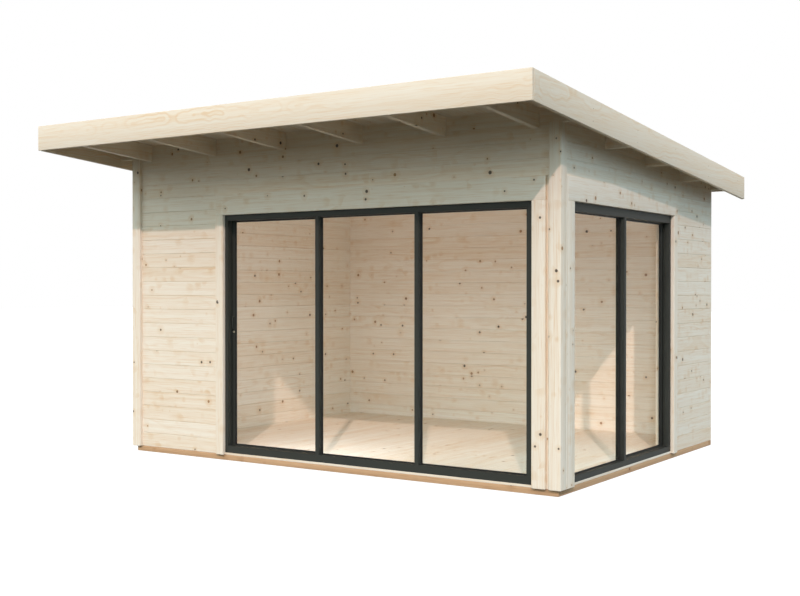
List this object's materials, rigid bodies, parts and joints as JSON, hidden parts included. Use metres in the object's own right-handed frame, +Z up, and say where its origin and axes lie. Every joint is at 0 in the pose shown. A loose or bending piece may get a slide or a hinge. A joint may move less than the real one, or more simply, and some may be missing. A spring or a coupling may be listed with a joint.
{
  "type": "timber garden room with a pent roof",
  "caption": "Timber garden room: log walls, glazed corner with black-framed sliding doors on two sides, roof falling to the back and a deep front canopy.",
  "frame": {"origin": "on the ground, under the middle of the roof's outline", "axes": "+X to the right along the glazed front, +Y to the back wall, +Z up"},
  "size_m": [4.58, 4.2, 2.7715],
  "materials": {
    "logs": "planed spruce, untreated",
    "timber": "planed spruce, untreated",
    "boards": "planed spruce boards, untreated",
    "edge_boards": "planed spruce, untreated",
    "treated_pine": "pressure treated pine, sawn",
    "black_frame": "powder coated, matt",
    "glazing": "clear",
    "lock_metal": "nickel plated",
    "roof_membrane": "matt sheet"
  },
  "bodies": {
    "building": {"back_purlin": "timber", "back_wall": "logs", "base_beam_back": "treated_pine", "base_beam_front": "treated_pine", "base_beams_side": "treated_pine", "canopy_lookouts": "timber", "corner_post_left": "timber", "corner_post_right": "timber", "corner_strips": "logs", "floor_boards": "boards", "floor_joists": "treated_pine", "front_fascia": "edge_boards", "front_fixed_panes": "glazing", "front_frame_head": "black_frame", "front_frame_sill": "black_frame", "front_frame_uprights": "black_frame", "front_jamb_left": "timber", "front_jamb_right": "timber", "front_lintel": "timber", "front_purlin": "timber", "front_wall_left": "logs", "front_wall_top": "logs", "left_verge": "edge_boards", "left_wall": "logs", "middle_purlins": "timber", "rear_fascia": "edge_boards", "right_verge": "edge_boards", "roof_covering": "roof_membrane", "roof_deck": "boards", "side_fixed_pane": "glazing", "side_frame_head": "black_frame", "side_frame_sill": "black_frame", "side_frame_uprights": "black_frame", "side_jamb_front": "timber", "side_jamb_rear": "timber", "side_lintel": "timber", "side_wall_rear": "logs", "side_wall_top": "logs", "sills": "boards"},
    "front_door": {"front_leaf": "black_frame", "front_leaf_pane": "glazing", "front_handle": "black_frame", "front_lock": "lock_metal"},
    "side_door": {"side_leaf": "black_frame", "side_leaf_pane": "glazing"}
  },
  "joints": [
    {"name": "front_door_slide", "type": "slide", "parent": "building", "child": "front_door", "axis": [1, 0, 0], "range_m": [0, 0.86]},
    {"name": "side_door_slide", "type": "slide", "parent": "building", "child": "side_door", "axis": [0, -1, 0], "range_m": [0, 0.86]}
  ]
}
